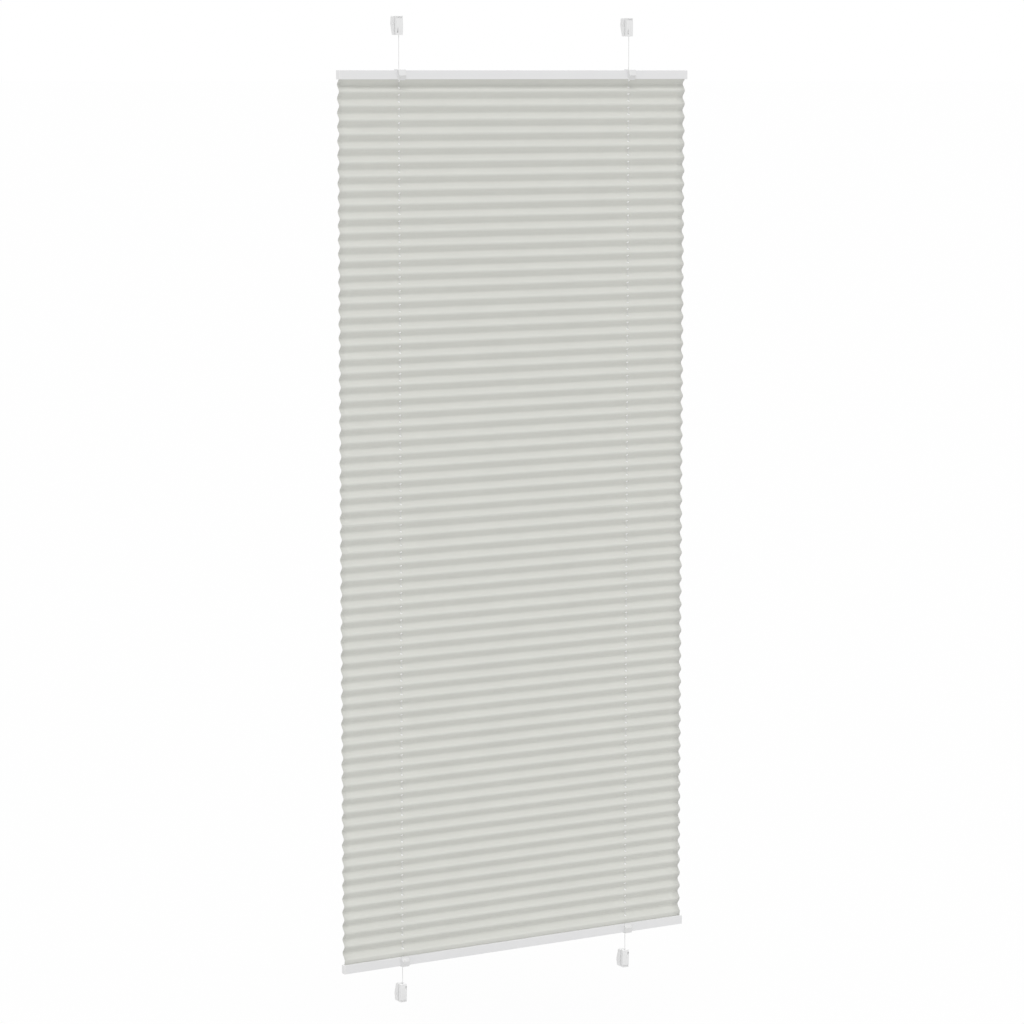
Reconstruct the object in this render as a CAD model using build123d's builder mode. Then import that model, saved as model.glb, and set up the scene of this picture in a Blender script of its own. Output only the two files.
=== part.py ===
from build123d import *
import os

# A pleated blind held between four sash clamps by two taut cords.
# X runs along the rails, the front of the blind faces -Y and Z is up; all lengths are in millimetres.
# The origin is the middle of the whole blind, clamps and grips included.

os.makedirs("parts", exist_ok=True)

# The blind as it is ordered, and the lengths of bare cord above and below it
blind_width = 900.0
blind_height = 2000.0
cord_inset = 153.0
top_cord_run = 76.0
bottom_cord_run = 45.0

# Clearances
fit_clearance = 0.1
slide_clearance = 0.3
cord_clearance = 0.6
cut_overrun = 1.0

# Cords and the ferrules on their ends
cord_diameter = 1.2
cord_facets = 8
anchor_diameter = 4.0
anchor_length = 8.0
anchor_chamfer = 0.6

# Rails and their end caps
rail_depth = 14.0
rail_height = 20.0
rail_wall = 1.2
rail_back_reach = 3.0
rail_edge_radius = 1.0
slot_width = 2.0
cap_thickness = 2.0
cap_edge_radius = 0.6
cap_plug_length = 12.0
cap_plug_wall = 1.5

# Pleated fabric, and the strips that hold its two ends
fabric_thickness = 0.3
fabric_inset = 3.0
fabric_hole_size = 4.0
pleat_depth = 12.3
pleat_count = 64
pleat_radius = 5.5
last_fold_rise = 6.0
tab_length = 4.0
tab_radius = 0.5
strip_width = 4.4
strip_roof = 0.8

# Cord guides and brake springs inside the rails
guide_length = 20.0
guide_front_wall = 1.2
spring_length = 12.0
spring_height = 4.0
spring_thickness = 0.4

# Grips
grip_width = 18.0
grip_rise = 1.8
grip_drop = 1.8
grip_plate = 1.5
grip_crown = 5.0
grip_crown_radius = 2.0
grip_reach = 9.0
grip_nose_setback = 12.0
grip_nose_radius = 1.2
grip_hollow_dip = 2.0
grip_foot = 1.3
grip_lip_length = 5.0
grip_edge_radius = 0.8

# Clamp bodies
clamp_width = 16.0
clamp_height = 41.0
block_front_wall = 3.0
block_back_wall = 1.0
block_arch = 0.8
block_edge_radius = 2.0
band_height = 4.0
band_depth = 2.0
band_setback = 1.2
pocket_side_play = 1.0
pocket_front_play = 1.5
pocket_back_play = 0.5
pocket_height = 14.0
pocket_floor = 5.0
notch_wall = 1.0
notch_height = 12.0
notch_depth = 5.0
tongue_width = 7.0
tongue_height = 5.0

# Clamp jaws and their lock screws
clamp_gap = 2.5
jaw_depth = 18.5
jaw_outer_depth = 17.0
jaw_inner_depth = 11.0
jaw_corner_radius = 4.0
jaw_edge_radius = 1.0
jaw_back_wall = 1.8
screw_setback = 14.7
screw_diameter = 4.0
screw_head_diameter = 7.0
screw_head_height = 2.0
screw_ring = 0.4
screw_front_wall = 1.1
screw_clearance = 0.08
screw_socket_width = 2.0
screw_socket_depth = 1.2
hex_sides = 6

# Depths, worked out from the cords' plane
cord_radius = cord_diameter / 2
cord_hole_radius = cord_radius + cord_clearance
anchor_radius = anchor_diameter / 2
front_reach = rail_depth - rail_back_reach + grip_reach
block_back_reach = anchor_radius + pocket_back_play + block_back_wall
back_reach = block_back_reach + clamp_gap + jaw_depth
cord_y = (front_reach - back_reach) / 2
rail_back = cord_y + rail_back_reach
rail_front = rail_back - rail_depth
inner_front = rail_front + rail_wall
inner_back = rail_back - rail_wall
slot_y = (rail_front + rail_back) / 2
pocket_front = cord_y - anchor_radius - pocket_front_play
pocket_back = cord_y + anchor_radius + pocket_back_play
block_front = pocket_front - block_front_wall
block_back = cord_y + block_back_reach
jaw_front = block_back + clamp_gap
screw_y = jaw_front + screw_front_wall + screw_ring + screw_head_diameter / 2

# Widths
rail_length = blind_width - 2 * cap_thickness
fabric_width = blind_width - 2 * fabric_inset
cord_x = blind_width / 2 - cord_inset
pocket_width = anchor_diameter + 2 * pocket_side_play

# Heights, and distances in from the outer side of a rail or the outer end of a clamp
half_height = clamp_height + (top_cord_run + blind_height + bottom_cord_run) / 2
strip_height = tab_length + strip_roof + 2 * fit_clearance
strip_top = rail_height - rail_wall - fit_clearance - strip_height
guide_top = rail_wall + fit_clearance
guide_bottom = strip_top - fit_clearance
pocket_end = clamp_height - pocket_floor
anchor_end = pocket_end - fit_clearance
cord_end = anchor_end - anchor_length

# Each end of the blind: the way out, the clamps' outer ends and the rail's outer side
ends = {
    "top": (1, half_height, half_height - clamp_height - top_cord_run),
    "bottom": (-1, -half_height, bottom_cord_run + clamp_height - half_height),
}
sides = {"left": -1, "right": 1}


def band(low_y, high_y, outer_z, out, near, far, mode=Mode.ADD):
    """Draws a rectangle between two depths, and between two distances in from an outer side."""
    with Locations(((low_y + high_y) / 2, outer_z - out * (near + far) / 2)):
        Rectangle(high_y - low_y, far - near, mode=mode)


def cord_hole(x, outer_z, out, near, far):
    """Cuts the hole that a cord runs through, between two distances in from an outer side."""
    with BuildSketch(Plane.XY.offset(outer_z - out * near)) as hole:
        with Locations((x, cord_y)):
            Circle(cord_hole_radius)
    extrude(hole.sketch, amount=-out * (far - near), mode=Mode.SUBTRACT)


def sheet_sides(folds, thickness):
    """Gives the corners of the two sides of a sheet of even thickness that is folded at the given points."""
    runs = [(after - before).normalized() for before, after in zip(folds, folds[1:])]
    normals = [Vector(-run.Y, run.X) for run in runs]
    corners = [first + second for first, second in zip(normals[:1] + normals, normals + normals[-1:])]
    mitres = [corner * (thickness / corner.dot(corner)) for corner in corners]
    upper = [fold + mitre for fold, mitre in zip(folds, mitres)]
    lower = [fold - mitre for fold, mitre in zip(folds, mitres)]
    return upper, lower


def keep(piece, node):
    """Labels a finished piece and writes it."""
    piece.part.label = node
    export_step(piece.part, f"parts/{node}.step")


# Rails: hollow sections with a slot for the fabric and a hole at each cord
for end, (out, clamp_z, rail_z) in ends.items():
    with BuildPart() as rail:
        with BuildSketch(Plane.YZ.offset(-rail_length / 2)) as rail_section:
            band(rail_front, rail_back, rail_z, out, 0, rail_height)
            fillet(rail_section.vertices(), rail_edge_radius)
            band(inner_front, inner_back, rail_z, out, rail_wall, rail_height - rail_wall, Mode.SUBTRACT)
            slot_low, slot_high = slot_y - slot_width / 2, slot_y + slot_width / 2
            band(slot_low, slot_high, rail_z, out, rail_height - 2 * rail_wall, rail_height, Mode.SUBTRACT)
        extrude(amount=rail_length)
        for side, right in sides.items():
            cord_hole(right * cord_x, rail_z, out, -cut_overrun, rail_height + cut_overrun)
    keep(rail, f"{end}_rail")

# End caps: a plate with the rail's outline and a hollow plug above the fabric strip
for end, (out, clamp_z, rail_z) in ends.items():
    for side, right in sides.items():
        with BuildPart() as cap:
            with BuildSketch(Plane.YZ.offset(right * rail_length / 2)) as cap_section:
                band(rail_front, rail_back, rail_z, out, 0, rail_height)
                fillet(cap_section.vertices(), rail_edge_radius)
            extrude(amount=right * cap_thickness)
            outer_face = cap.faces().sort_by(Axis.X)[-1 if right > 0 else 0]
            fillet(outer_face.edges(), cap_edge_radius)
            with BuildSketch(Plane.YZ.offset(right * rail_length / 2)):
                plug_front, plug_back = inner_front + fit_clearance, inner_back - fit_clearance
                band(plug_front, plug_back, rail_z, out, guide_top, guide_bottom)
                plug_front, plug_back = plug_front + cap_plug_wall, plug_back - cap_plug_wall
                plug_top, plug_bottom = guide_top + cap_plug_wall, guide_bottom - cap_plug_wall
                band(plug_front, plug_back, rail_z, out, plug_top, plug_bottom, Mode.SUBTRACT)
            extrude(amount=-right * cap_plug_length)
        keep(cap, f"{end}_rail_{side}_cap")

# Fabric: one sheet folded to and fro from the top rail's slot to the bottom rail's
top_out, top_clamp_z, top_rail_z = ends["top"]
bottom_out, bottom_clamp_z, bottom_rail_z = ends["bottom"]
fabric_top = top_rail_z - rail_height
fabric_bottom = bottom_rail_z + rail_height
pleat_pitch = (fabric_top - fabric_bottom - last_fold_rise) / pleat_count
ridge_y = cord_y - pleat_depth / 2
valley_y = cord_y + pleat_depth / 2
tab_reach = rail_wall + fit_clearance + tab_length
folds = [Vector(slot_y, fabric_top + tab_reach), Vector(slot_y, fabric_top)]
for pleat in range(pleat_count):
    folds.append(Vector(valley_y, fabric_top - (pleat + 1 / 2) * pleat_pitch))
    folds.append(Vector(ridge_y, fabric_top - (pleat + 1) * pleat_pitch))
folds += [Vector(slot_y, fabric_bottom), Vector(slot_y, fabric_bottom - tab_reach)]
fold_radii = [tab_radius] + [pleat_radius] * 2 * pleat_count + [tab_radius]
upper_ways = [1 if turn % 2 else -1 for turn in range(len(fold_radii))]
upper_radii = [radius + way * fabric_thickness / 2 for radius, way in zip(fold_radii, upper_ways)]
lower_radii = [radius - way * fabric_thickness / 2 for radius, way in zip(fold_radii, upper_ways)]
with BuildPart() as fabric:
    with BuildSketch(Plane.YZ.offset(-fabric_width / 2)):
        with BuildLine():
            upper, lower = sheet_sides(folds, fabric_thickness)
            upper_side = FilletPolyline(*upper, radius=upper_radii)
            lower_side = FilletPolyline(*lower, radius=lower_radii)
            Line(upper_side @ 0, lower_side @ 0)
            Line(upper_side @ 1, lower_side @ 1)
        make_face()
    extrude(amount=fabric_width)
    with BuildSketch(Plane.XY.offset(fabric_bottom)):
        with Locations((-cord_x, cord_y), (cord_x, cord_y)):
            Rectangle(fabric_hole_size, fabric_hole_size)
    extrude(amount=fabric_top - fabric_bottom, mode=Mode.SUBTRACT)
keep(fabric, "pleated_fabric")

# Fabric strips: channels that grip the fabric's tabs and are too wide for the rails' slots
for end, (out, clamp_z, rail_z) in ends.items():
    with BuildPart() as strip:
        with BuildSketch(Plane.YZ.offset(-fabric_width / 2)):
            strip_foot = strip_top + strip_height
            band(slot_y - strip_width / 2, slot_y + strip_width / 2, rail_z, out, strip_top, strip_foot)
            kerf = fabric_thickness / 2 + fit_clearance
            band(slot_y - kerf, slot_y + kerf, rail_z, out, strip_top + strip_roof, strip_foot, Mode.SUBTRACT)
        extrude(amount=fabric_width)
    keep(strip, f"{end}_fabric_strip")

# Cord guides: blocks in the rails with a bore for the cord and a pocket for the brake spring
pocket_low_y = inner_front + fit_clearance + guide_front_wall
spring_top = guide_top + fit_clearance
spring_floor = spring_top + spring_height + fit_clearance
for end, (out, clamp_z, rail_z) in ends.items():
    for side, right in sides.items():
        x = right * cord_x
        with BuildPart() as guide:
            with BuildSketch(Plane.YZ.offset(x - guide_length / 2)):
                guide_front, guide_back = inner_front + fit_clearance, inner_back - fit_clearance
                band(guide_front, guide_back, rail_z, out, guide_top, guide_bottom)
            extrude(amount=guide_length)
            with BuildSketch(Plane.YZ.offset(x - spring_length / 2 - fit_clearance)):
                band(pocket_low_y, cord_y, rail_z, out, guide_top - cut_overrun, spring_floor)
            extrude(amount=spring_length + 2 * fit_clearance, mode=Mode.SUBTRACT)
            cord_hole(x, rail_z, out, guide_top - cut_overrun, guide_bottom + cut_overrun)
        keep(guide, f"{end}_{side}_cord_guide")

# Brake springs: bent leaves whose middles bear on the cords
foot_y = pocket_low_y + fit_clearance + spring_thickness
crest_y = cord_y - cord_radius - slide_clearance - spring_thickness
for end, (out, clamp_z, rail_z) in ends.items():
    for side, right in sides.items():
        x = right * cord_x
        foot_x = spring_length / 2 - spring_thickness
        leaf = [Vector(x - foot_x, foot_y), Vector(x, crest_y), Vector(x + foot_x, foot_y)]
        with BuildPart() as spring:
            with BuildSketch(Plane.XY.offset(rail_z - out * spring_top)):
                upper, lower = sheet_sides(leaf, spring_thickness)
                with BuildLine():
                    Polyline(*upper, *reversed(lower), close=True)
                make_face()
            extrude(amount=-out * spring_height)
        keep(spring, f"{end}_{side}_brake_spring")

# Grips: saddles over the rails' outer sides, with a nose and a finger hollow in front and a lip behind
plate_back = rail_front - fit_clearance
plate_front = plate_back - grip_plate
crown_y = rail_front - grip_crown
nose_y = rail_front - grip_reach
lip_front = rail_back + fit_clearance
for end, (out, clamp_z, rail_z) in ends.items():
    for side, right in sides.items():
        x = right * cord_x
        crown_z = rail_z + out * grip_rise
        nose_z = rail_z - out * grip_nose_setback
        foot_z = rail_z - out * (rail_height + grip_drop)
        with BuildPart() as grip:
            with BuildSketch(Plane.YZ.offset(x - grip_width / 2)) as grip_section:
                with BuildLine():
                    hollow_end = (plate_front, foot_z + out * grip_foot)
                    Polyline(
                        hollow_end,
                        (plate_front, foot_z),
                        (plate_back, foot_z),
                        (plate_back, crown_z),
                        (crown_y, crown_z),
                        (nose_y, nose_z),
                    )
                    SagittaArc((nose_y, nose_z), hollow_end, out * grip_hollow_dip)
                make_face()
                crown = grip_section.vertices().sort_by_distance((crown_y, crown_z))[0]
                fillet(crown, grip_crown_radius)
                nose = grip_section.vertices().sort_by_distance((nose_y, nose_z))[0]
                fillet(nose, grip_nose_radius)
            extrude(amount=grip_width)
            side_edges = grip.edges().filter_by(Axis.X, reverse=True)
            fillet(side_edges.filter_by_position(Axis.Y, nose_y, plate_front), grip_edge_radius)
            with BuildSketch(Plane.YZ.offset(x - grip_width / 2)):
                band(plate_back, lip_front + grip_plate, rail_z, out, -grip_rise, -fit_clearance)
                band(lip_front, lip_front + grip_plate, rail_z, out, -grip_rise, grip_lip_length)
            extrude(amount=grip_width)
            cord_hole(x, rail_z, out, -grip_rise - cut_overrun, 0)
        keep(grip, f"{end}_{side}_grip")

# Cords: straight from ferrule to ferrule
for side, right in sides.items():
    with BuildPart() as cord:
        with BuildSketch(Plane.XY.offset(cord_end - half_height)):
            with Locations((right * cord_x, cord_y)):
                RegularPolygon(cord_radius, cord_facets)
        extrude(amount=2 * (half_height - cord_end))
    keep(cord, f"{side}_cord")

# Cord anchors: ferrules on the cords' ends that sit on the floors of the clamps' pockets
for end, (out, clamp_z, rail_z) in ends.items():
    for side, right in sides.items():
        with BuildPart() as anchor:
            with BuildSketch(Plane.XY.offset(clamp_z - out * anchor_end)):
                with Locations((right * cord_x, cord_y)):
                    Circle(anchor_radius)
            extrude(amount=out * anchor_length)
            chamfer(anchor.edges().filter_by(GeomType.CIRCLE), anchor_chamfer)
            with BuildSketch(Plane.XY.offset(clamp_z - out * anchor_end)):
                with Locations((right * cord_x, cord_y)):
                    Circle(cord_radius + fit_clearance)
            extrude(amount=out * anchor_length, mode=Mode.SUBTRACT)
        keep(anchor, f"{end}_{side}_cord_anchor")

# Clamp bodies: blocks on the room side with the anchor's pocket, and a tongue that the jaw slides on.
# The anchor goes in at a window behind, with its cord in a slot, and a sloped notch in front takes a nail.
tongue_end = jaw_front + jaw_depth - jaw_back_wall - slide_clearance
pocket_near = pocket_end - pocket_height
window_width = anchor_diameter + 2 * slide_clearance
notch_width = (clamp_width - pocket_width) / 2 - 2 * notch_wall
tongue_near = screw_setback - tongue_height / 2
tongue_far = screw_setback + tongue_height / 2
for end, (out, clamp_z, rail_z) in ends.items():
    for side, right in sides.items():
        x = right * cord_x
        with BuildPart() as body:
            with BuildSketch(Plane.YZ.offset(x - clamp_width / 2)):
                inner_z = clamp_z - out * clamp_height
                with BuildLine():
                    Polyline(
                        (block_front + block_arch, clamp_z),
                        (block_back, clamp_z),
                        (block_back, inner_z),
                        (block_front + block_arch, inner_z),
                    )
                    ThreePointArc(
                        (block_front + block_arch, clamp_z),
                        (block_front, (clamp_z + inner_z) / 2),
                        (block_front + block_arch, inner_z),
                    )
                make_face()
            extrude(amount=clamp_width)
            fillet(body.edges().group_by(Axis.Y)[0], block_edge_radius)
            with BuildSketch(Plane.YZ.offset(x - clamp_width / 2)):
                band_back = block_front + block_arch + band_depth
                band_end = band_setback + band_height
                band(block_front - cut_overrun, band_back, clamp_z, out, band_setback, band_end)
            extrude(amount=clamp_width, mode=Mode.SUBTRACT)
            with BuildSketch(Plane.YZ.offset(x - pocket_width / 2)):
                band(pocket_front, pocket_back, clamp_z, out, pocket_near, pocket_end)
            extrude(amount=pocket_width, mode=Mode.SUBTRACT)
            with BuildSketch(Plane.YZ.offset(x - window_width / 2)):
                band(cord_y, block_back + cut_overrun, clamp_z, out, pocket_near, pocket_end)
            extrude(amount=window_width, mode=Mode.SUBTRACT)
            with BuildSketch(Plane.YZ.offset(x - cord_hole_radius)):
                band(cord_y, block_back + cut_overrun, clamp_z, out, anchor_end, clamp_height + cut_overrun)
            extrude(amount=2 * cord_hole_radius, mode=Mode.SUBTRACT)
            cord_hole(x, clamp_z, out, anchor_end, clamp_height + cut_overrun)
            with BuildSketch(Plane.YZ.offset(x - out * (clamp_width / 2 - notch_wall))):
                notch_end = clamp_z - out * pocket_end
                notch_start = notch_end + out * notch_height
                with BuildLine():
                    Polyline(
                        (block_front - cut_overrun, notch_end),
                        (block_front + notch_depth, notch_end),
                        (block_front, notch_start),
                        (block_front - cut_overrun, notch_start),
                        close=True,
                    )
                make_face()
            extrude(amount=out * notch_width, mode=Mode.SUBTRACT)
            with BuildSketch(Plane.YZ.offset(x - tongue_width / 2)):
                band(block_back, tongue_end, clamp_z, out, tongue_near, tongue_far)
            extrude(amount=tongue_width)
        keep(body, f"{end}_{side}_clamp_body")

# Clamp jaws: bulged behind, tapered towards the blind, with a channel for the tongue and the screw's seat
channel_width = tongue_width + 2 * slide_clearance
seat_depth = screw_head_height + slide_clearance
for end, (out, clamp_z, rail_z) in ends.items():
    for side, right in sides.items():
        x = right * cord_x
        inner_z = clamp_z - out * clamp_height
        shoulder_y = jaw_front + jaw_outer_depth
        bulge_near = 2 * jaw_corner_radius
        bulge_far = 2 * screw_setback - bulge_near
        screw_z = clamp_z - out * screw_setback
        with BuildPart() as jaw:
            with BuildSketch(Plane.YZ.offset(x - clamp_width / 2)) as jaw_section:
                with BuildLine():
                    Polyline(
                        (shoulder_y, clamp_z - out * bulge_far),
                        (jaw_front + jaw_inner_depth, inner_z),
                        (jaw_front, inner_z),
                        (jaw_front, clamp_z),
                        (shoulder_y, clamp_z),
                        (shoulder_y, clamp_z - out * bulge_near),
                    )
                    ThreePointArc(
                        (shoulder_y, clamp_z - out * bulge_near),
                        (jaw_front + jaw_depth, screw_z),
                        (shoulder_y, clamp_z - out * bulge_far),
                    )
                make_face()
                for corner in ((shoulder_y, clamp_z), (jaw_front + jaw_inner_depth, inner_z)):
                    fillet(jaw_section.vertices().sort_by_distance(corner)[0], jaw_corner_radius)
            extrude(amount=clamp_width)
            side_edges = jaw.edges().filter_by(Axis.X, reverse=True)
            round_front, round_back = jaw_front + jaw_edge_radius, jaw_front + jaw_depth
            fillet(side_edges.filter_by_position(Axis.Y, round_front, round_back), jaw_edge_radius)
            with BuildSketch(Plane.YZ.offset(x - channel_width / 2)):
                channel_near, channel_far = tongue_near - slide_clearance, tongue_far + slide_clearance
                channel_end = jaw_front + jaw_depth - jaw_back_wall
                band(jaw_front - cut_overrun, channel_end, clamp_z, out, channel_near, channel_far)
            extrude(amount=channel_width, mode=Mode.SUBTRACT)
            with BuildSketch(Plane.YZ.offset(x - clamp_width / 2)):
                with Locations((screw_y, screw_z)):
                    Circle(screw_head_diameter / 2 + screw_ring)
            extrude(amount=seat_depth, mode=Mode.SUBTRACT)
            with BuildSketch(Plane.YZ.offset(x - clamp_width / 2)):
                with Locations((screw_y, screw_z)):
                    Circle(screw_diameter / 2 + screw_clearance)
            extrude(amount=clamp_width / 2, mode=Mode.SUBTRACT)
        keep(jaw, f"{end}_{side}_clamp_jaw")

# Lock screws: socket screws in the jaws' left sides, with their points just clear of the tongues
for end, (out, clamp_z, rail_z) in ends.items():
    for side, right in sides.items():
        face_x = right * cord_x - clamp_width / 2
        screw_z = clamp_z - out * screw_setback
        point_x = right * cord_x - tongue_width / 2 - slide_clearance
        with BuildPart() as screw:
            with BuildSketch(Plane.YZ.offset(face_x)):
                with Locations((screw_y, screw_z)):
                    Circle(screw_head_diameter / 2)
            extrude(amount=screw_head_height)
            with BuildSketch(Plane.YZ.offset(face_x)):
                with Locations((screw_y, screw_z)):
                    Circle(screw_diameter / 2)
            extrude(amount=point_x - face_x)
            with BuildSketch(Plane.YZ.offset(face_x)):
                with Locations((screw_y, screw_z)):
                    RegularPolygon(screw_socket_width / 2, hex_sides, major_radius=False)
            extrude(amount=screw_socket_depth, mode=Mode.SUBTRACT)
        keep(screw, f"{end}_{side}_lock_screw")
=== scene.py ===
import math

import bpy
import numpy as np
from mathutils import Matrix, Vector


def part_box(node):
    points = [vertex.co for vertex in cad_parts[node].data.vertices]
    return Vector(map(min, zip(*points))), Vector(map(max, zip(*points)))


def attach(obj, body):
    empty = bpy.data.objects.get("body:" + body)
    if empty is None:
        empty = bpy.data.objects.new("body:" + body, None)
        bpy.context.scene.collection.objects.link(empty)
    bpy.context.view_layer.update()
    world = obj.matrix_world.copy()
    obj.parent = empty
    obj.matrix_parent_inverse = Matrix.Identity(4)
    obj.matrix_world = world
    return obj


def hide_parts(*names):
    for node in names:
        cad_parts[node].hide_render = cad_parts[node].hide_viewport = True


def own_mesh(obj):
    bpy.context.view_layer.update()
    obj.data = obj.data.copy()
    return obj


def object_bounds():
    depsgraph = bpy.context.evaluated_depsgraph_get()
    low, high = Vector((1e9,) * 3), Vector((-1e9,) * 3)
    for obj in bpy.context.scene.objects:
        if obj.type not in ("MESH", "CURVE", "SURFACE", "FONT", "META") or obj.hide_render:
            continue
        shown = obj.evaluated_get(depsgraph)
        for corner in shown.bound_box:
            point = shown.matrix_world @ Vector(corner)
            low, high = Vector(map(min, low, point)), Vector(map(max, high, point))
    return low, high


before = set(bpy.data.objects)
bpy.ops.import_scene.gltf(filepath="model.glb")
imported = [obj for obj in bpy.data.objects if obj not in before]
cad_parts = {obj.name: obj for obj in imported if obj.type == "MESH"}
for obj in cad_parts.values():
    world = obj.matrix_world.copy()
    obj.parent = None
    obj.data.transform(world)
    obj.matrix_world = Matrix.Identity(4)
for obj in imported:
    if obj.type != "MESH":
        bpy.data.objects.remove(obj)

bl_info = {
    "name": "Pleated blind",
    "version": (1, 0, 0),
    "blender": (4, 5, 0),
    "location": "3D View > Sidebar > Blind",
    "description": "Dresses a pleated blind: its folded cloth, cords, rails, grips, clamps and stage",
    "category": "Object",
}

CAD_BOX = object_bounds()
ENDS = ("top", "bottom")
SIDES = ("left", "right")
DRAWN_SHARE = 0.05


class ClothSettings(bpy.types.PropertyGroup):
    """The pleated sheet: its folds, its cord holes and its weave."""

    colour: bpy.props.FloatVectorProperty(
        name="Colour", description="Colour of the cloth", subtype="COLOR", default=(0.705, 0.709, 0.668))
    pleats: bpy.props.IntProperty(
        name="Pleats", description="Pleats from the top rail to the bottom rail", default=64, min=2)
    thickness: bpy.props.FloatProperty(
        name="Thickness", description="Thickness of the cloth", default=0.0003, unit="LENGTH")
    fold_depth: bpy.props.FloatProperty(
        name="Fold depth", description="Depth of a pleat from corner to corner", default=0.0123,
        unit="LENGTH")
    fold_radius: bpy.props.FloatProperty(
        name="Fold radius", description="Radius that rounds the folds", default=0.0055, unit="LENGTH")
    tab_radius: bpy.props.FloatProperty(
        name="Tab radius", description="Radius where the sheet turns into a rail's slot", default=0.0005,
        unit="LENGTH")
    first_drop: bpy.props.FloatProperty(
        name="First fold", description="First fold's distance below the top rail", default=0.0105,
        unit="LENGTH")
    last_rise: bpy.props.FloatProperty(
        name="Last fold", description="Last fold's distance above the bottom rail", default=0.0105,
        unit="LENGTH")
    hole_width: bpy.props.FloatProperty(
        name="Hole width", description="Width of the punched cord holes", default=0.0050, unit="LENGTH")
    hole_length: bpy.props.FloatProperty(
        name="Hole length", description="Length of the cord holes down a face", default=0.0048, unit="LENGTH")
    unevenness: bpy.props.FloatProperty(
        name="Unevenness", description="How far the folds wander", default=0.00022, unit="LENGTH")
    bow: bpy.props.FloatProperty(
        name="Bow", description="How far a face bellies between its folds", default=0.00025, unit="LENGTH")
    column_gap: bpy.props.FloatProperty(
        name="Column gap", description="Distance between the columns of the sheet's grid", default=0.024,
        unit="LENGTH")
    stack_gap: bpy.props.FloatProperty(
        name="Stack gap", description="Room between a rail and the closed stack of folds", default=0.0004,
        unit="LENGTH", precision=5)
    thread_pitch: bpy.props.FloatProperty(
        name="Thread pitch", description="Distance between threads", default=0.0005, unit="LENGTH",
        precision=5)
    seed: bpy.props.IntProperty(name="Seed", description="Picks how the folds wander", default=7)


class CordSettings(bpy.types.PropertyGroup):
    """The two taut cords."""

    colour: bpy.props.FloatVectorProperty(
        name="Colour", description="Colour of the cords", subtype="COLOR", default=(0.74, 0.74, 0.735))
    braid_pitch: bpy.props.FloatProperty(
        name="Braid pitch", description="Distance along a cord between crossings of its strands",
        default=0.0016, unit="LENGTH", precision=5)
    strands: bpy.props.IntProperty(
        name="Strands", description="Strands of the braid that run each way", default=4, min=1)


class FinishSettings(bpy.types.PropertyGroup):
    """Colours of the rigid pieces."""

    rail: bpy.props.FloatVectorProperty(
        name="Rails", description="Powder coat of the rails", subtype="COLOR", default=(0.795, 0.795, 0.80))
    cap: bpy.props.FloatVectorProperty(
        name="End caps", description="Moulded plastic of the end caps", subtype="COLOR",
        default=(0.84, 0.84, 0.84))
    grip: bpy.props.FloatVectorProperty(
        name="Grips", description="Moulded plastic of the grips", subtype="COLOR",
        default=(0.775, 0.775, 0.775))
    clamp: bpy.props.FloatVectorProperty(
        name="Clamps", description="Moulded plastic of the clamps", subtype="COLOR",
        default=(0.83, 0.83, 0.83))
    insert: bpy.props.FloatVectorProperty(
        name="Inserts", description="Plastic of the guides and strips inside the rails", subtype="COLOR",
        default=(0.66, 0.66, 0.64))
    steel: bpy.props.FloatVectorProperty(
        name="Steel", description="Screws and springs", subtype="COLOR", default=(0.84, 0.84, 0.84))
    ferrule: bpy.props.FloatVectorProperty(
        name="Ferrules", description="Plated ferrules on the cords' ends", subtype="COLOR",
        default=(0.66, 0.64, 0.60))


class StageSettings(bpy.types.PropertyGroup):
    """The floor, the light and the camera."""

    floor: bpy.props.FloatVectorProperty(
        name="Floor", description="Colour of the floor", subtype="COLOR", default=(0.77, 0.77, 0.77))
    floor_drop: bpy.props.FloatProperty(
        name="Floor drop", description="Floor's distance below the lowest clamp", default=0.35, unit="LENGTH")
    floor_size: bpy.props.FloatProperty(
        name="Floor size", description="Side of the floor", default=2000.0, unit="LENGTH")
    floor_whiteness: bpy.props.FloatProperty(
        name="Floor whiteness", description="Share of plain white in the floor as the camera sees it",
        default=0.95, subtype="FACTOR", min=0, max=1)
    room_light: bpy.props.FloatProperty(
        name="Room light", description="Strength of the even light from all sides", default=0.72)
    key_light: bpy.props.FloatProperty(
        name="Key light", description="Strength of the soft light from the front and above", default=0.97)
    key_height: bpy.props.FloatProperty(
        name="Key height", description="How high the key light stands", subtype="ANGLE",
        default=math.radians(58))
    key_turn: bpy.props.FloatProperty(
        name="Key turn", description="How far to the left the key light stands", subtype="ANGLE",
        default=math.radians(28))
    key_softness: bpy.props.FloatProperty(
        name="Key softness", description="Angle that the key light fills", subtype="ANGLE",
        default=math.radians(24))
    back_light: bpy.props.FloatProperty(
        name="Back light", description="Strength of the soft light from behind and above", default=0.65)
    camera_place: bpy.props.FloatVectorProperty(
        name="Camera", description="Place of the camera", subtype="TRANSLATION",
        default=(-3.885, -6.554, 0.979))
    camera_turn: bpy.props.FloatProperty(
        name="Camera turn", description="How far to the right the camera looks", subtype="ANGLE",
        default=math.radians(30.60))
    camera_tilt: bpy.props.FloatProperty(
        name="Camera tilt", description="How far down the camera looks", subtype="ANGLE",
        default=math.radians(7.37))
    camera_lens: bpy.props.FloatProperty(
        name="Lens", description="Focal length in millimetres", subtype="DISTANCE_CAMERA", default=119.4)


# Node helpers

def add(tree, kind, inputs=None, **settings):
    """Adds a node; an input is given by name or number, as a plain value or as a socket to link from."""
    made = tree.nodes.new(kind)
    for name, value in settings.items():
        setattr(made, name, value)
    for name, value in (inputs or {}).items():
        socket = made.inputs[name]
        if isinstance(value, bpy.types.NodeSocket):
            tree.links.new(value, socket)
        else:
            socket.default_value = value
    return made


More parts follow.
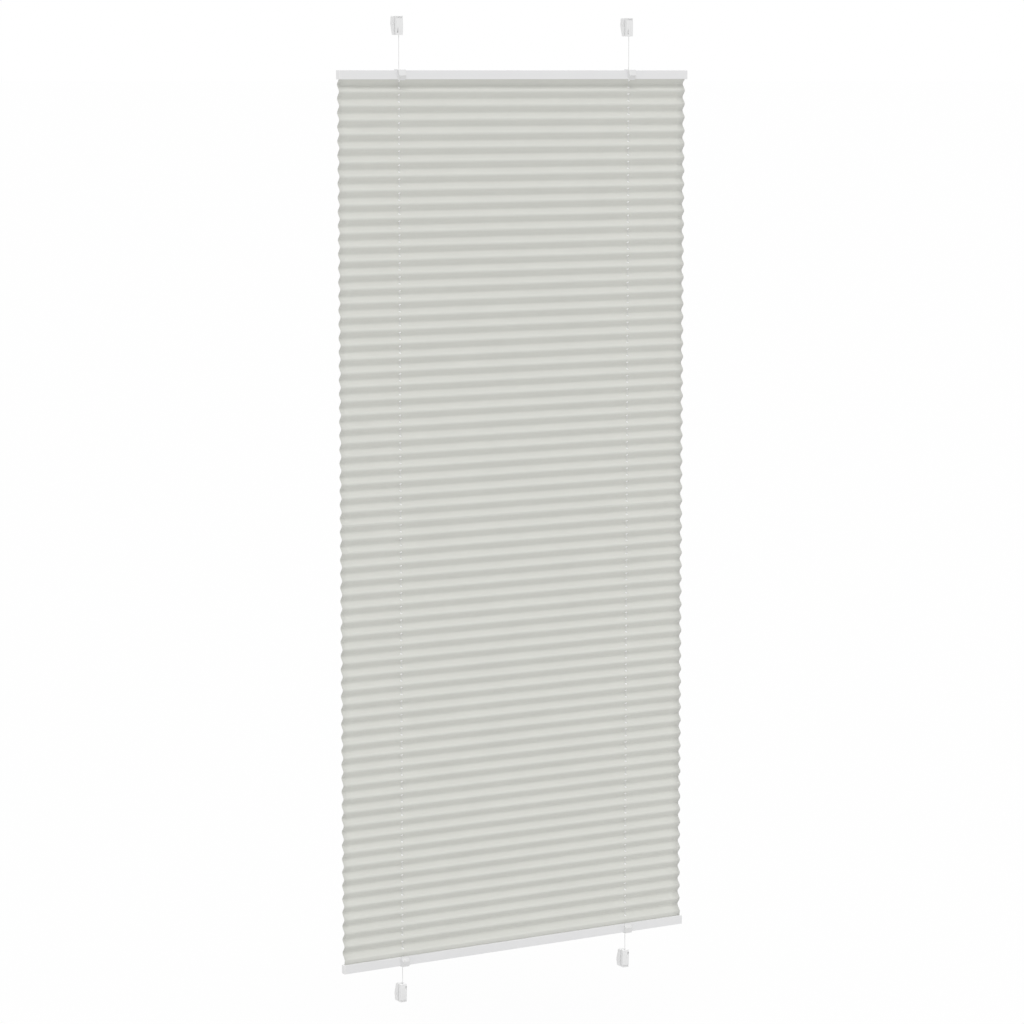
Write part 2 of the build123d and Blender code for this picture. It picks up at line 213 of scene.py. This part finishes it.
def maths(tree, operation, first, second=0.0):
    """Adds a Math node and gives its result."""
    return add(tree, "ShaderNodeMath", {0: first, 1: second}, operation=operation).outputs[0]


def object_place(tree):
    """Gives the Object coordinates, which are metres in the blind's own frame."""
    return add(tree, "ShaderNodeTexCoord").outputs["Object"]


def new_group(name, inputs, outputs):
    """Makes a shader node group of plain numbers, with a Vector input where one is named so."""
    tree = bpy.data.node_groups.new(name, "ShaderNodeTree")
    for label in inputs:
        kind = "NodeSocketVector" if label == "Vector" else "NodeSocketFloat"
        tree.interface.new_socket(label, in_out="INPUT", socket_type=kind)
    for label in outputs:
        tree.interface.new_socket(label, in_out="OUTPUT", socket_type="NodeSocketFloat")
    return tree, tree.nodes.new("NodeGroupInput").outputs, tree.nodes.new("NodeGroupOutput").inputs


def grain_group():
    """Surface grain: fine noise of a given size as Height, and slow patches of a given size as Patches."""
    if "Surface grain" in bpy.data.node_groups:
        return bpy.data.node_groups["Surface grain"]
    inputs = ("Vector", "Grain size", "Patch size")
    tree, given, result = new_group("Surface grain", inputs, ("Height", "Patches"))
    for size, label, detail in (("Grain size", "Height", 2.0), ("Patch size", "Patches", 3.0)):
        scale = maths(tree, "DIVIDE", 1.0, given[size])
        noise = add(tree, "ShaderNodeTexNoise", {"Vector": given["Vector"], "Scale": scale, "Detail": detail})
        tree.links.new(noise.outputs[0], result[label])
    return tree


def surface_grain(tree, place, grain_size, patch_size):
    """Places the surface grain in a material and gives its outputs."""
    sizes = {"Vector": place, "Grain size": grain_size, "Patch size": patch_size}
    return add(tree, "ShaderNodeGroup", sizes, node_tree=grain_group()).outputs


def new_material(name):
    """Makes a material and gives it with its nodes and its Principled shader."""
    material = bpy.data.materials.new(name)
    material.use_nodes = True
    return material, material.node_tree, material.node_tree.nodes["Principled BSDF"]


def shade(colour, factor):
    """Gives a colour made darker or lighter."""
    return (*[min(1.0, part * factor) for part in colour], 1.0)


def tone(tree, colour, factor, contrast):
    """Gives a colour that goes from darker to lighter as a factor goes from 0 to 1.

    The Mix node's inputs 6 and 7 are its two colours, and its output 2 is the mixed one.
    """
    dark, light = shade(colour, 1 - contrast), shade(colour, 1 + contrast)
    return add(tree, "ShaderNodeMix", {0: factor, 6: dark, 7: light}, data_type="RGBA").outputs[2]


def between(tree, factor, low, high):
    """Gives a number that goes from low to high as a factor goes from 0 to 1."""
    return add(tree, "ShaderNodeMapRange", {"Value": factor, "To Min": low, "To Max": high}).outputs[0]


def bump(tree, height, depth):
    """Gives a normal that a height pushes out by a depth in metres."""
    return add(tree, "ShaderNodeBump", {"Height": height, "Distance": depth, "Strength": 1.0}).outputs[0]


def set_sockets(shader, **values):
    """Sets plain values on a shader's own sockets, named with underscores."""
    for name, value in values.items():
        shader.inputs[name.replace("_", " ")].default_value = value


def link_sockets(tree, shader, **sockets):
    """Links varying values to a shader's sockets, named with underscores."""
    for name, socket in sockets.items():
        tree.links.new(socket, shader.inputs[name.replace("_", " ")])


# Finishes

def powder_coat(colour):
    """White powder coat on an extruded rail: satin, with a faint orange peel and slow patches of sheen."""
    material, tree, shader = new_material("powder_coat")
    grain = surface_grain(tree, object_place(tree), grain_size=0.0014, patch_size=0.08)
    link_sockets(
        tree, shader,
        Base_Color=tone(tree, colour, grain["Patches"], contrast=0.02),
        Roughness=between(tree, grain["Patches"], low=0.36, high=0.50),
        Normal=bump(tree, grain["Height"], depth=0.00003))
    set_sockets(shader, Specular_IOR_Level=0.45)
    return material


def moulded_plastic(name, colour, grain_size, smooth, rough):
    """Moulded plastic: a fine spark-eroded grain, and patches from smooth to rough from handling."""
    material, tree, shader = new_material(name)
    grain = surface_grain(tree, object_place(tree), grain_size, patch_size=0.012)
    link_sockets(
        tree, shader,
        Base_Color=tone(tree, colour, grain["Patches"], contrast=0.02),
        Roughness=between(tree, grain["Patches"], low=smooth, high=rough),
        Normal=bump(tree, grain["Height"], depth=0.00002))
    set_sockets(shader, Specular_IOR_Level=0.5)
    return material


def turned_steel(colour, centre_y, centre_z):
    """Plated screw steel, turned: fine rings about a screw's axis, which lies along X.

    The height is a sine of the distance from the axis, which stands at a depth and a height.
    """
    material, tree, shader = new_material("turned_steel")
    ring_pitch = 0.00022
    place = add(tree, "ShaderNodeSeparateXYZ", {0: object_place(tree)}).outputs
    across = maths(tree, "SUBTRACT", place[1], centre_y)
    up = maths(tree, "SUBTRACT", maths(tree, "ABSOLUTE", place[2]), centre_z)
    squares = [maths(tree, "POWER", way, 2.0) for way in (across, up)]
    radius = maths(tree, "SQRT", maths(tree, "ADD", *squares))
    rings = maths(tree, "SINE", maths(tree, "MULTIPLY", radius, math.tau / ring_pitch))
    grain = surface_grain(tree, object_place(tree), grain_size=0.0005, patch_size=0.004)
    link_sockets(
        tree, shader,
        Base_Color=tone(tree, colour, grain["Patches"], contrast=0.06),
        Roughness=between(tree, grain["Patches"], low=0.24, high=0.38),
        Normal=bump(tree, rings, depth=0.000004))
    set_sockets(shader, Metallic=1.0)
    return material


def drawn_steel(name, colour, scale):
    """Bright metal with fine drawn lines: a noise, stretched along the axis of the smallest scale."""
    material, tree, shader = new_material(name)
    stretched = add(tree, "ShaderNodeMapping", {"Vector": object_place(tree), "Scale": scale}).outputs[0]
    grain = surface_grain(tree, stretched, grain_size=0.0003, patch_size=0.006)
    link_sockets(
        tree, shader,
        Base_Color=tone(tree, colour, grain["Patches"], contrast=0.06),
        Roughness=between(tree, grain["Height"], low=0.22, high=0.42),
        Normal=bump(tree, grain["Height"], depth=0.000008))
    set_sockets(shader, Metallic=1.0)
    return material


def pleated_cloth(cloth):
    """Woven polyester: a plain weave on the sheet's own UV map in metres, with slubs and a painted highlight
    along the folds.

    The weave's height is the product of a sine across the warp and a sine across the weft, and the colour is
    a little darker where that height is low: painted shade in the weave's hollows. A slub is a noise
    stretched along the weft, and the colour is lighter where a power of the fold value is high: a painted
    highlight along the folds.
    """
    material, tree, shader = new_material("pleated_cloth")
    slub_stretch = (0.03, 1.0, 1.0)
    fold_highlight_power = 9.0
    flat = add(tree, "ShaderNodeTexCoord").outputs["UV"]
    place = add(tree, "ShaderNodeSeparateXYZ", {0: flat}).outputs
    turn = math.pi / cloth.thread_pitch
    warp = maths(tree, "SINE", maths(tree, "MULTIPLY", place[0], turn))
    weft = maths(tree, "SINE", maths(tree, "MULTIPLY", place[1], turn))
    weave = maths(tree, "MULTIPLY", warp, weft)
    drawn_out = add(tree, "ShaderNodeMapping", {"Vector": flat, "Scale": slub_stretch}).outputs[0]
    slubs = surface_grain(tree, drawn_out, grain_size=0.0009, patch_size=0.004)
    soft = surface_grain(tree, flat, grain_size=0.003, patch_size=0.09)
    fold = add(tree, "ShaderNodeAttribute", attribute_name="fold").outputs["Fac"]
    # The colour is made lighter where a high power of the fold value is near 1, along the fold lines: a
    # painted highlight on the folds.
    fold_highlight = maths(tree, "POWER", maths(tree, "ABSOLUTE", fold), fold_highlight_power)
    # The weave's share makes the colour darker where the weave is low: painted shade in its hollows.
    shares = ((weave, 0.06), (slubs["Height"], 0.45), (soft["Patches"], 0.35), (fold_highlight, 0.10))
    mixed = 0.0
    for part, share in shares:
        mixed = maths(tree, "ADD", maths(tree, "MULTIPLY", part, share), mixed)
    link_sockets(
        tree, shader,
        Base_Color=tone(tree, cloth.colour, mixed, contrast=0.08),
        Roughness=between(tree, slubs["Patches"], low=0.78, high=0.92),
        Normal=bump(tree, weave, depth=0.00004))
    set_sockets(shader, Specular_IOR_Level=0.2, Sheen_Weight=0.08, Sheen_Roughness=0.5)
    return material


def braided_cord(cord, centre_x, centre_y):
    """Braided polyester: two sets of strands that wind opposite ways round a cord's axis, which lies along Z.

    The height is the higher of two sines, each of the angle round the axis plus or minus the way along it.
    The colour is a little darker where the height is low: painted shade in the grooves between the strands.
    """
    material, tree, shader = new_material("braided_cord")
    place = add(tree, "ShaderNodeSeparateXYZ", {0: object_place(tree)}).outputs
    across = maths(tree, "SUBTRACT", maths(tree, "ABSOLUTE", place[0]), centre_x)
    deep = maths(tree, "SUBTRACT", place[1], centre_y)
    angle = maths(tree, "MULTIPLY", maths(tree, "ARCTAN2", across, deep), float(cord.strands))
    along = maths(tree, "MULTIPLY", place[2], math.tau / cord.braid_pitch)
    right_hand = maths(tree, "SINE", maths(tree, "ADD", angle, along))
    left_hand = maths(tree, "SINE", maths(tree, "SUBTRACT", angle, along))
    strands = maths(tree, "MAXIMUM", right_hand, left_hand)
    link_sockets(
        tree, shader,
        # Base colour darker where the strands' height is low: painted shade in the grooves between the
        # strands.
        Base_Color=tone(tree, cord.colour, strands, contrast=0.05),
        Roughness=between(tree, strands, low=0.75, high=0.6),
        Normal=bump(tree, strands, depth=0.00004))
    set_sockets(shader, Specular_IOR_Level=0.3)
    return material


def dress(material, *nodes):
    """Gives CAD nodes a material."""
    for name in nodes:
        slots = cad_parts[name].data.materials
        slots.clear()
        slots.append(material)


def every(pattern):
    """Gives the names of the four pieces that a pattern with an end and a side stands for."""
    return [pattern.format(end=end, side=side) for end in ENDS for side in SIDES]


# Pleated sheet

def cord_places():
    """Gives where the two cords run, as X places and one depth."""
    boxes = [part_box(f"{side}_cord") for side in SIDES]
    return [(low.x + high.x) / 2 for low, high in boxes], (boxes[0][0].y + boxes[0][1].y) / 2


def wander(rng, folds, columns):
    """Gives each fold a slow wave along X from -1 to 1: three sines of falling share and random phases."""
    lengths = np.array([0.93, 0.41, 0.19])
    shares = np.array([0.5, 0.3, 0.2])
    phases = rng.uniform(0, math.tau, (folds, 1, len(lengths)))
    return (shares * np.sin(math.tau * columns[None, :, None] / lengths + phases)).sum(2)


def sheet_columns(cloth, cords):
    """Gives the X places of the grid's columns: evenly spaced, and near a cord hole in shares of half its
    width, four across the hole and two on each side of it."""
    low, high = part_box("pleated_fabric")
    near_shares = np.array([-4, -2, -1, -1 / 3, 1 / 3, 1, 2, 4])
    clear_share = 6
    even = np.linspace(low.x, high.x, round((high.x - low.x) / cloth.column_gap) + 1)
    half = cloth.hole_width / 2
    near = np.concatenate([x + half * near_shares for x in cords])
    clear = np.abs(even[:, None] - np.array(cords)).min(1) > half * clear_share
    return np.sort(np.concatenate([even[clear], near]))


def fold_corners(cloth, columns):
    """Gives the sharp corners that the sheet's section turns at, with a depth and a height in each column.

    The section drops out of the top slot, goes to and fro between the back and the front, half a pleat lower
    each time, and drops into the bottom slot.
    """
    low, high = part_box("pleated_fabric")
    top_low, top_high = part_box("top_rail")
    bottom_low, bottom_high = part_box("bottom_rail")
    slot = (top_low.y + top_high.y) / 2
    _, depth = cord_places()
    folds = 2 * cloth.pleats
    heights = np.linspace(top_low.z - cloth.first_drop, bottom_high.z + cloth.last_rise, folds)
    sides = np.where(np.arange(folds) % 2 == 0, 1, -1)
    depths = np.concatenate([[slot, slot], depth + sides * cloth.fold_depth / 2, [slot, slot]])
    heights = np.concatenate([[high.z, top_low.z], heights, [bottom_high.z, low.z]])
    corners = np.repeat(np.stack([depths, heights], 1)[:, None], len(columns), 1)
    rng = np.random.default_rng(cloth.seed)
    corners[2:-2, :, 0] -= sides[:, None] * cloth.unevenness * (1 + wander(rng, folds, columns)) / 2
    corners[2:-2, :, 1] += cloth.unevenness * wander(rng, folds, columns)
    return corners


def rounded_corners(corners, radii, steps):
    """Gives the arcs that round the inner corners: the unit ways in and out give an arc's middle and two
    radii, and its points are those radii mixed by the sines of the angles that are left and past."""
    ways = np.diff(corners, axis=0)
    ways /= np.linalg.norm(ways, axis=2, keepdims=True)
    way_in, way_out = ways[:-1], ways[1:]
    turn = np.arccos(np.clip((way_in * way_out).sum(2), -1, 1))[..., None]
    radii = radii[:, None, None]
    start = corners[1:-1] - way_in * radii * np.tan(turn / 2)
    end = corners[1:-1] + way_out * radii * np.tan(turn / 2)
    inward = way_out - way_in
    inward /= np.linalg.norm(inward, axis=2, keepdims=True)
    middle = corners[1:-1] + inward * radii / np.cos(turn / 2)
    share = np.linspace(0, 1, steps)[:, None, None]
    turn = turn[:, None]
    first, last = (start - middle)[:, None], (end - middle)[:, None]
    return middle[:, None] + (np.sin((1 - share) * turn) * first + np.sin(share * turn) * last) / np.sin(turn)


def sheet_grid(cloth):
    """Works the whole sheet out as a grid: points, flat places, fold values, kept cells and the middle row.

    Down the sheet each face has its own rows between two arcs. The four rows and columns round a cord hole
    are drawn in from a square to an ellipse, by scaling each way with the root of one less half the square of
    the other. The tabs in the rails and the short last face have no holes.
    """
    arc_steps = 7
    hole_cells = 3
    first_hole_row = 1
    outer_share = 0.28
    rounding = 0.01
    cords, _ = cord_places()
    columns = sheet_columns(cloth, cords)
    corners = fold_corners(cloth, columns)
    radii = np.full(len(corners) - 2, cloth.fold_radius)
    radii[[0, -1]] = cloth.tab_radius
    arcs = rounded_corners(corners, radii, arc_steps)

    starts = np.concatenate([corners[:1], arcs[:, -1]])
    spans = np.concatenate([arcs[:, 0], corners[-1:]]) - starts
    length = np.linalg.norm(spans[len(spans) // 2], axis=1).mean()
    half = cloth.hole_length / 2 / length
    shares = 0.5 + np.array([-outer_share, -half, -half / 3, half / 3, half, outer_share])
    rows = len(shares)
    faces = len(spans)

    across = np.broadcast_to(columns, (faces, rows, len(columns))).copy()
    down = np.broadcast_to(shares[:, None], across.shape).copy()
    holed = (np.arange(faces) > 0) & (np.arange(faces) < faces - 2)
    for x in cords:
        side = (columns - x) / (cloth.hole_width / 2)
        ends = (shares - 0.5) / half
        side, ends = np.meshgrid(side, ends)
        inside = np.maximum(np.abs(side), np.abs(ends)) < 1 + rounding
        side_in = side * np.sqrt(np.clip(1 - ends ** 2 / 2, 0, 1))
        ends_in = ends * np.sqrt(np.clip(1 - side ** 2 / 2, 0, 1))
        across[holed] += np.where(inside, side_in - side, 0) * cloth.hole_width / 2
        down[holed] += np.where(inside, ends_in - ends, 0) * half
    flat_faces = starts[:, None] + spans[:, None] * down[..., None]
    normal = np.stack([spans[..., 1], -spans[..., 0]], 2) / np.linalg.norm(spans, axis=2, keepdims=True)
    rng = np.random.default_rng(cloth.seed + 1)
    belly = cloth.bow * wander(rng, faces, columns)[:, None] * np.sin(math.pi * down)
    belly[[0, -2, -1]] = 0
    flat_faces += normal[:, None] * belly[..., None]

    signs = np.where(np.arange(len(corners)) % 2 == 0, -1.0, 1.0)
    signs[[0, 1, -2, -1]] = 0
    arc_rows = np.concatenate([np.broadcast_to(columns, arcs.shape[:-1])[..., None], arcs], 3)
    face_rows = np.concatenate([across[..., None], flat_faces], 3)
    arc_folds = np.broadcast_to(signs[1:-1, None, None], arcs.shape[:-1])
    face_folds = signs[:-1, None, None] * (1 - down) + signs[1:, None, None] * down

    def in_order(face_part, arc_part, first, last):
        """Puts an end row, each face's rows and then its arc's, and the other end row one below the other."""
        blocks = np.concatenate([face_part[:-1], arc_part], 1)
        blocks = blocks.reshape(-1, *blocks.shape[2:])
        return np.concatenate([first[None], blocks, face_part[-1], last[None]])

    end_rows = [np.concatenate([columns[:, None], corners[end]], 1) for end in (0, -1)]
    points = in_order(face_rows, arc_rows, *end_rows)
    folds = in_order(face_folds, arc_folds, np.zeros(len(columns)), np.zeros(len(columns)))
    middle_column = points[:, len(columns) // 2, 1:]
    down_flat = np.concatenate([[0], np.cumsum(np.linalg.norm(np.diff(middle_column, axis=0), axis=1))])
    flat = np.stack([points[..., 0], np.broadcast_to(down_flat[:, None], folds.shape)], 2)

    kept = np.ones((len(points) - 1, len(columns) - 1), bool)
    top_rows = 1 + np.flatnonzero(holed) * (rows + arc_steps) + first_hole_row
    for x in cords:
        left = np.argmin(np.abs(columns - (x - cloth.hole_width / 2)))
        for row in range(hole_cells):
            kept[top_rows + row, left:left + hole_cells] = False
    middle_fold = cloth.pleats + 1
    middle_row = 1 + middle_fold * rows + (middle_fold - 1) * arc_steps + arc_steps // 2
    return points, flat, folds, kept, middle_row


def sheet_piece(name, points, flat, folds, kept, thickness):
    """Makes a mesh from a grid of points without the cells that aren't kept, and gives it its thickness."""
    rows, columns = folds.shape
    index = np.arange(rows * columns).reshape(rows, columns)
    quads = np.stack([index[:-1, :-1], index[1:, :-1], index[1:, 1:], index[:-1, 1:]], 2)[kept]
    used, quads = np.unique(quads, return_inverse=True)
    quads = quads.reshape(-1, 4)
    mesh = bpy.data.meshes.new(name)
    mesh.from_pydata(points.reshape(-1, 3)[used], [], quads)
    uv = mesh.uv_layers.new(name="UVMap")
    uv.data.foreach_set("uv", flat.reshape(-1, 2)[used][quads.ravel()].astype(np.float32).ravel())
    fold = mesh.attributes.new("fold", "FLOAT", "POINT")
    fold.data.foreach_set("value", folds.ravel()[used].astype(np.float32))
    mesh.shade_smooth()
    piece = bpy.data.objects.new(name, mesh)
    bpy.context.scene.collection.objects.link(piece)
    solid = piece.modifiers.new("Thickness", "SOLIDIFY")
    solid.thickness = thickness
    solid.offset = 0
    return piece


class BLIND_OT_cloth(bpy.types.Operator):
    """Fold the sheet and hang it between the rails, in two halves that meet at a fold in the middle"""

    bl_idname = "blind.cloth"
    bl_label = "Pleated sheet"

    def execute(self, context):
        cloth = context.scene.blind_cloth
        points, flat, folds, kept, middle = sheet_grid(cloth)
        material = pleated_cloth(cloth)
        halves = {"top": slice(0, middle + 1), "bottom": slice(middle, len(points))}
        for end, half in halves.items():
            cells = slice(half.start, half.stop - 1)
            piece = sheet_piece(
                f"{end}_half_of_cloth", points[half], flat[half], folds[half], kept[cells], cloth.thickness)
            piece.data.materials.append(material)
            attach(piece, "root")
            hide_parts("pleated_fabric")
            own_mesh(piece)
        return {"FINISHED"}


class BLIND_OT_cords(bpy.types.Operator):
    """Stretch the two cords from clamp to clamp"""

    bl_idname = "blind.cords"
    bl_label = "Cords"

    def execute(self, context):
        places, depth = cord_places()
        material = braided_cord(context.scene.blind_cords, max(places), depth)
        for side, x in zip(SIDES, places):
            low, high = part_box(f"{side}_cord")
            stops = [high.z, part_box("top_rail")[1].z, 0.0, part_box("bottom_rail")[0].z, low.z]
            curve = bpy.data.curves.new(f"{side}_braided_cord", "CURVE")
            curve.dimensions = "3D"
            curve.bevel_depth = (high.y - low.y) / 2
            curve.bevel_resolution = 3
            curve.use_fill_caps = True
            line = curve.splines.new("NURBS")
            line.points.add(len(stops) - 1)
            for point, z in zip(line.points, stops):
                point.co = (x, depth, z, 1)
            line.order_u = 3
            line.use_endpoint_u = True
            curve.materials.append(material)
            piece = bpy.data.objects.new(f"{side}_braided_cord", curve)
            context.scene.collection.objects.link(piece)
            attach(piece, "root")
            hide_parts(f"{side}_cord")
        return {"FINISHED"}


class BLIND_OT_rails(bpy.types.Operator):
    """Finish the rails, their end caps and what they hold inside"""

    bl_idname = "blind.rails"
    bl_label = "Rails"

    def execute(self, context):
        finish = context.scene.blind_finish
        dress(powder_coat(finish.rail), *[f"{end}_rail" for end in ENDS])
        cap = moulded_plastic("cap_plastic", finish.cap, grain_size=0.0006, smooth=0.48, rough=0.62)
        dress(cap, *every("{end}_rail_{side}_cap"))
        insert = moulded_plastic("insert_plastic", finish.insert, grain_size=0.0008, smooth=0.45, rough=0.6)
        dress(insert, *every("{end}_{side}_cord_guide"), *[f"{end}_fabric_strip" for end in ENDS])
        spring = drawn_steel("spring_steel", finish.steel, scale=(DRAWN_SHARE, 1, 1))
        dress(spring, *every("{end}_{side}_brake_spring"))
        return {"FINISHED"}


class BLIND_OT_grips(bpy.types.Operator):
    """Finish the four grips"""

    bl_idname = "blind.grips"
    bl_label = "Grips"

    def execute(self, context):
        finish = context.scene.blind_finish
        plastic = moulded_plastic("grip_plastic", finish.grip, grain_size=0.0005, smooth=0.32, rough=0.46)
        dress(plastic, *every("{end}_{side}_grip"))
        return {"FINISHED"}


class BLIND_OT_clamps(bpy.types.Operator):
    """Finish the four clamps, their screws and the ferrules in them"""

    bl_idname = "blind.clamps"
    bl_label = "Clamps"

    def execute(self, context):
        finish = context.scene.blind_finish
        plastic = moulded_plastic("clamp_plastic", finish.clamp, grain_size=0.0005, smooth=0.36, rough=0.5)
        dress(plastic, *every("{end}_{side}_clamp_body"), *every("{end}_{side}_clamp_jaw"))
        low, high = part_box("top_left_lock_screw")
        steel = turned_steel(finish.steel, (low.y + high.y) / 2, (low.z + high.z) / 2)
        dress(steel, *every("{end}_{side}_lock_screw"))
        ferrule = drawn_steel("ferrule_metal", finish.ferrule, scale=(1, 1, DRAWN_SHARE))
        dress(ferrule, *every("{end}_{side}_cord_anchor"))
        return {"FINISHED"}


class BLIND_OT_stage(bpy.types.Operator):
    """Lay the floor and set the light and the camera"""

    bl_idname = "blind.stage"
    bl_label = "Stage"

    def execute(self, context):
        stage = context.scene.blind_stage
        context.scene.view_settings.view_transform = "Standard"
        self.lay_floor(context.scene, stage)
        self.light_room(context.scene, stage)
        self.hang_lights(context.scene, stage)
        self.set_camera(context.scene, stage)
        return {"FINISHED"}

    def seen_rays(self, tree):
        """Gives 1 for the rays that show a thing to the camera, also in gloss or glass, and 0 for light."""
        path = add(tree, "ShaderNodeLightPath").outputs
        seen = maths(tree, "MAXIMUM", path["Is Camera Ray"], path["Is Glossy Ray"])
        return maths(tree, "MAXIMUM", seen, path["Is Transmission Ray"])

    def lay_floor(self, scene, stage):
        """Lays a square floor that looks almost white and still takes a soft shadow."""
        half = stage.floor_size / 2
        height = CAD_BOX[0].z - stage.floor_drop
        mesh = bpy.data.meshes.new("floor")
        corners = [(x * half, y * half, height) for x, y in ((-1, -1), (1, -1), (1, 1), (-1, 1))]
        mesh.from_pydata(corners, [], [range(len(corners))])
        floor = bpy.data.objects.new("floor", mesh)
        scene.collection.objects.link(floor)
        material, tree, shader = new_material("floor_paint")
        set_sockets(shader, Base_Color=(*stage.floor, 1), Roughness=0.9, Specular_IOR_Level=0.0)
        white = add(tree, "ShaderNodeEmission")
        share = maths(tree, "MULTIPLY", self.seen_rays(tree), stage.floor_whiteness)
        mix = add(tree, "ShaderNodeMixShader", {0: share, 1: shader.outputs[0], 2: white.outputs[0]})
        tree.links.new(mix.outputs[0], tree.nodes["Material Output"].inputs["Surface"])
        mesh.materials.append(material)

    def light_room(self, scene, stage):
        """Gives an even light from all sides, and a white background to the rays that show it."""
        world = bpy.data.worlds.new("room")
        world.use_nodes = True
        scene.world = world
        tree = world.node_tree
        background = tree.nodes["Background"]
        background.inputs["Color"].default_value = (1, 1, 1, 1)
        strength = between(tree, self.seen_rays(tree), low=stage.room_light, high=1.0)
        tree.links.new(strength, background.inputs["Strength"])

    def hang_lights(self, scene, stage):
        """Hangs a wide soft light in front, above and to the left, and a weaker one opposite it."""
        lights = {
            "key": (stage.key_light, -stage.key_turn),
            "back": (stage.back_light, math.pi - stage.key_turn),
        }
        for name, (strength, turn) in lights.items():
            data = bpy.data.lights.new(name, "SUN")
            data.energy = strength
            data.angle = stage.key_softness
            light = bpy.data.objects.new(name, data)
            light.rotation_euler = (math.pi / 2 - stage.key_height, 0, turn)
            scene.collection.objects.link(light)

    def set_camera(self, scene, stage):
        """Stands the camera to the left of the blind, level with its top rail."""
        data = bpy.data.cameras.new("camera")
        data.lens = stage.camera_lens
        camera = bpy.data.objects.new("camera", data)
        camera.location = stage.camera_place
        camera.rotation_euler = (math.pi / 2 - stage.camera_tilt, 0, -stage.camera_turn)
        scene.collection.objects.link(camera)
        scene.camera = camera


SETTINGS = {
    "blind_cloth": ClothSettings,
    "blind_cords": CordSettings,
    "blind_finish": FinishSettings,
    "blind_stage": StageSettings,
}
OPERATORS = (BLIND_OT_cords, BLIND_OT_cloth, BLIND_OT_rails, BLIND_OT_grips, BLIND_OT_clamps, BLIND_OT_stage)


class BLIND_PT_sidebar(bpy.types.Panel):
    """Lists the blind's settings and the operators that make its pieces"""

    bl_label = "Pleated blind"
    bl_idname = "BLIND_PT_sidebar"
    bl_space_type = "VIEW_3D"
    bl_region_type = "UI"
    bl_category = "Blind"

    def draw(self, context):
        for operator in OPERATORS:
            self.layout.operator(operator.bl_idname)
        for name, group in SETTINGS.items():
            box = self.layout.box()
            for setting in group.__annotations__:
                box.prop(getattr(context.scene, name), setting)


def register():
    for group in SETTINGS.values():
        bpy.utils.register_class(group)
    for name, group in SETTINGS.items():
        setattr(bpy.types.Scene, name, bpy.props.PointerProperty(type=group))
    for kind in (*OPERATORS, BLIND_PT_sidebar):
        bpy.utils.register_class(kind)


def unregister():
    for kind in reversed((*OPERATORS, BLIND_PT_sidebar)):
        bpy.utils.unregister_class(kind)
    for name, group in SETTINGS.items():
        delattr(bpy.types.Scene, name)
        bpy.utils.unregister_class(group)


def main():
    register()
    bpy.ops.blind.cords()
    bpy.ops.blind.cloth()
    bpy.ops.blind.rails()
    bpy.ops.blind.grips()
    bpy.ops.blind.clamps()
    bpy.ops.blind.stage()


if __name__ == "__main__":
    main()
